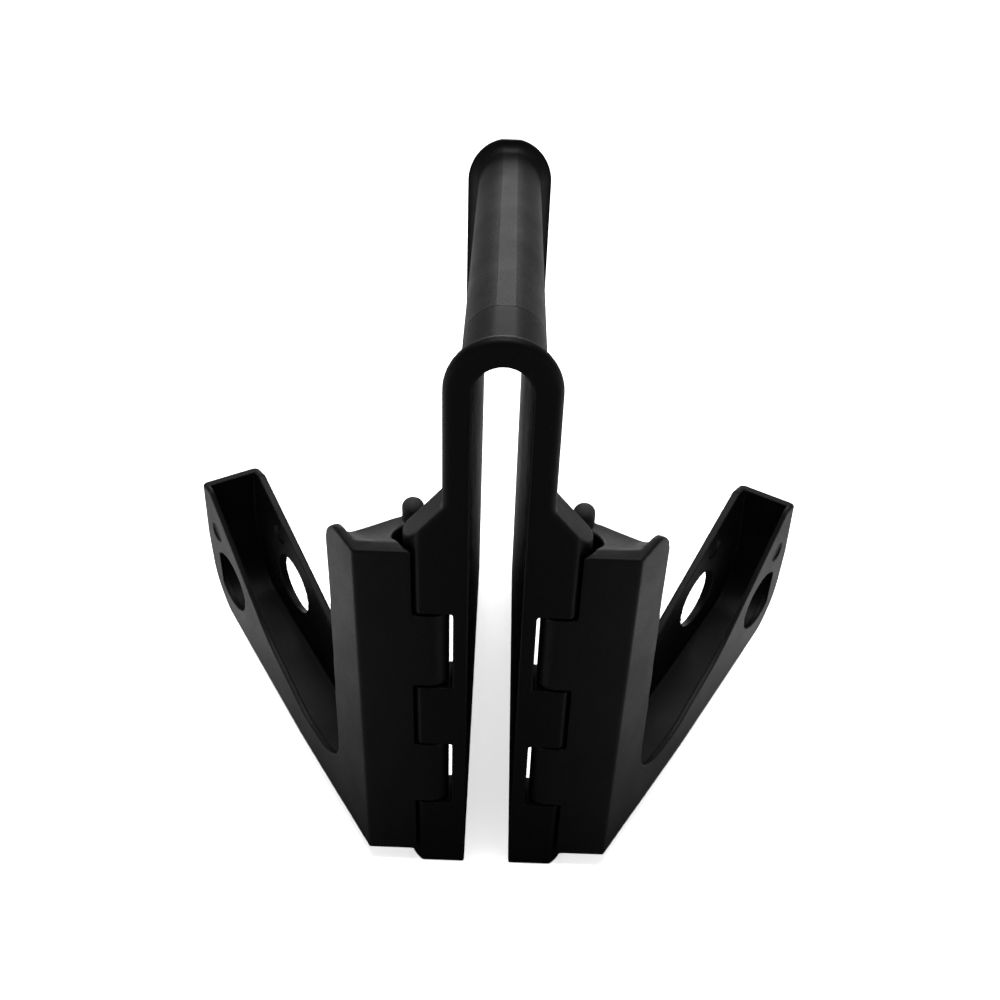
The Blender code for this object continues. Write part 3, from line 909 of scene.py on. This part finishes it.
dress(build_front_shell(), frame_plastic, "frame", ["front_frame"])
dress(build_channel(), plastic, "frame", ["rear_channel"])
arm_right = build_arm_shell()
arm_left = mirror_copy(arm_right, "arm_shell_left")
peg_right = build_peg("peg_knurled_right")
peg_left = mirror_copy(peg_right, "peg_knurled_left")
for label, side, arm, peg in (("right", 1, arm_right, peg_right), ("left", -1, arm_left, peg_left)):
    dress(arm, plastic, f"arm_{label}", [f"arm_{label}"])
    dress(peg, peg_plastic, f"arm_{label}", [f"top_peg_{label}"])
    plug = build_plug(f"hinge_plug_{label}", side)
    dress(plug, plastic, "frame", [f"pin_plug_{label}"])
    dress(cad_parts[f"hinge_pin_{label}"], pin_steel)
    for level in ("lower", "upper"):
        dress(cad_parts[f"thrust_washer_{label}_{level}"], washer_plastic)
    for number in range(1, SCREWS_A_SIDE + 1):
        dress(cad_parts[f"joint_screw_{label}_{number}"], black_steel)


# ---------------------------------------------------------------- studio

# Lengths are in metres.  What the camera sees of the studio is plain white.
FLOOR_HALF = 6.0
FLOOR_GAIN = 9.0
FLOOR_GLOW = 0.6
BACKDROP = 1.3
FRONT_FILL = 0.045

# What the floor throws back: where each change starts and ends, and the shade at each of the two.
REAR_FLOOR = ((0.05, 0.32), (0.0, 2.0))
REAR_SLANT = 0.9
FAR_FLOOR = ((0.4, 0.9), (1.0, 0.6))
SIDE_FLOOR = ((0.04, 0.2), (0.0, 0.9))
NEAR_FLOOR = ((-0.5, -0.2), (0.0, 0.3))

# The dome's light in the same way, by direction.
BACK_DOME = ((0.0, 0.9), (0.0, 1.0))
LOW_DOME = ((0.05, 0.5), (2.7, 0.42))
NARROW_DOME = ((0.02, 0.25), (1.0, 0.08))

CAMERA_PLACE = (-0.00139, -0.57015, 0.57222)
CAMERA_PITCH = 0.610903
CAMERA_YAW = -0.0027748
CAMERA_ROLL = 0.0337114
CAMERA_LENS = 38.485
CAMERA_SHIFT = (0.005987, 0.000354)


def build_floor():
    """A wide floor.  The light that it throws back comes mostly from behind and beside the rack."""
    bm = bmesh.new()
    bmesh.ops.create_grid(bm, x_segments=1, y_segments=1, size=FLOOR_HALF)
    mesh = bpy.data.meshes.new("floor")
    bm.to_mesh(mesh)
    bm.free()
    floor = bpy.data.objects.new("floor", mesh)
    bpy.context.collection.objects.link(floor)
    material, nodes, links, shader = new_material("pale_floor")
    nodes.remove(shader)
    seen = nodes.new("ShaderNodeBsdfDiffuse")
    seen.inputs["Color"].default_value = (FLOOR_GAIN, FLOOR_GAIN, FLOOR_GAIN, 1)
    thrown = nodes.new("ShaderNodeBsdfDiffuse")
    place = nodes.new("ShaderNodeSeparateXYZ")
    links.new(nodes.new("ShaderNodeTexCoord").outputs["Object"], place.inputs["Vector"])
    aside = maths(nodes, links, "ABSOLUTE", place.outputs["X"])
    slant = maths(nodes, links, "MULTIPLY", place.outputs["Y"], REAR_SLANT)
    behind = maths(nodes, links, "ADD", aside, slant)
    rear = map_range(nodes, links, behind, *REAR_FLOOR, smooth=True)
    far = map_range(nodes, links, behind, *FAR_FLOOR, smooth=True)
    beside = map_range(nodes, links, aside, *SIDE_FLOOR, smooth=True)
    near = map_range(nodes, links, place.outputs["Y"], *NEAR_FLOOR, smooth=True)
    shade = maths(nodes, links, "ADD", maths(nodes, links, "MULTIPLY", rear, far), beside)
    shade = maths(nodes, links, "ADD", shade, near)
    tint = nodes.new("ShaderNodeCombineColor")
    for channel in ("Red", "Green", "Blue"):
        links.new(shade, tint.inputs[channel])
    links.new(tint.outputs["Color"], thrown.inputs["Color"])
    mix = nodes.new("ShaderNodeMixShader")
    links.new(nodes.new("ShaderNodeLightPath").outputs["Is Camera Ray"], mix.inputs["Fac"])
    links.new(thrown.outputs["BSDF"], mix.inputs[1])
    glow = nodes.new("ShaderNodeEmission")
    glow.inputs["Strength"].default_value = FLOOR_GLOW
    pale = nodes.new("ShaderNodeAddShader")
    links.new(seen.outputs["BSDF"], pale.inputs[0])
    links.new(glow.outputs["Emission"], pale.inputs[1])
    links.new(pale.outputs["Shader"], mix.inputs[2])
    links.new(mix.outputs["Shader"], nodes["Material Output"].inputs["Surface"])
    mesh.materials.append(material)


def build_world():
    """Studio dome: brightest low behind the rack, dimmer above, nearly dark in front and beside."""
    world = bpy.data.worlds.new("studio")
    bpy.context.scene.world = world
    world.use_nodes = True
    nodes, links = world.node_tree.nodes, world.node_tree.links
    background = nodes["Background"]
    split = nodes.new("ShaderNodeSeparateXYZ")
    links.new(nodes.new("ShaderNodeTexCoord").outputs["Generated"], split.inputs["Vector"])
    back = map_range(nodes, links, split.outputs["Y"], *BACK_DOME, smooth=True)
    low = map_range(nodes, links, split.outputs["Z"], *LOW_DOME, smooth=True)
    aside = maths(nodes, links, "ABSOLUTE", split.outputs["X"])
    narrow = map_range(nodes, links, aside, *NARROW_DOME, smooth=True)
    lit = maths(nodes, links, "MULTIPLY", maths(nodes, links, "MULTIPLY", back, low), narrow)
    links.new(maths(nodes, links, "ADD", lit, FRONT_FILL), background.inputs["Strength"])
    background.inputs["Color"].default_value = (1, 1, 1, 1)
    backdrop = nodes.new("ShaderNodeBackground")
    backdrop.inputs["Strength"].default_value = BACKDROP
    mix = nodes.new("ShaderNodeMixShader")
    links.new(nodes.new("ShaderNodeLightPath").outputs["Is Camera Ray"], mix.inputs["Fac"])
    links.new(background.outputs["Background"], mix.inputs[1])
    links.new(backdrop.outputs["Background"], mix.inputs[2])
    links.new(mix.outputs["Shader"], nodes["World Output"].inputs["Surface"])


def area_light(name, place, target, size, power):
    """A square light aimed at a target."""
    light = bpy.data.lights.new(name, "AREA")
    light.shape = "SQUARE"
    light.size = size
    light.energy = power
    obj = bpy.data.objects.new(name, light)
    obj.location = place
    obj.rotation_euler = (Vector(target) - Vector(place)).to_track_quat("-Z", "Y").to_euler()
    bpy.context.collection.objects.link(obj)


def build_camera():
    """0.42 m in front of the wall face and 0.57 m up, looking 35 degrees down over the rack."""
    camera = bpy.data.cameras.new("camera")
    camera.sensor_width = 36
    camera.lens = CAMERA_LENS
    camera.shift_x, camera.shift_y = CAMERA_SHIFT
    camera.clip_start = 0.01
    obj = bpy.data.objects.new("camera", camera)
    yaw = Matrix.Rotation(-CAMERA_YAW, 4, "Z")
    pitch = Matrix.Rotation(math.pi / 2 - CAMERA_PITCH, 4, "X")
    roll = Matrix.Rotation(CAMERA_ROLL, 4, "Z")
    obj.matrix_world = Matrix.Translation(CAMERA_PLACE) @ yaw @ pitch @ roll
    bpy.context.collection.objects.link(obj)
    bpy.context.scene.camera = obj


bpy.context.scene.view_settings.view_transform = "Standard"
build_floor()
build_world()
area_light("key_above", place=(0, 0.15, 2.2), target=(0, 0, 0.15), size=1.2, power=7)
build_camera()
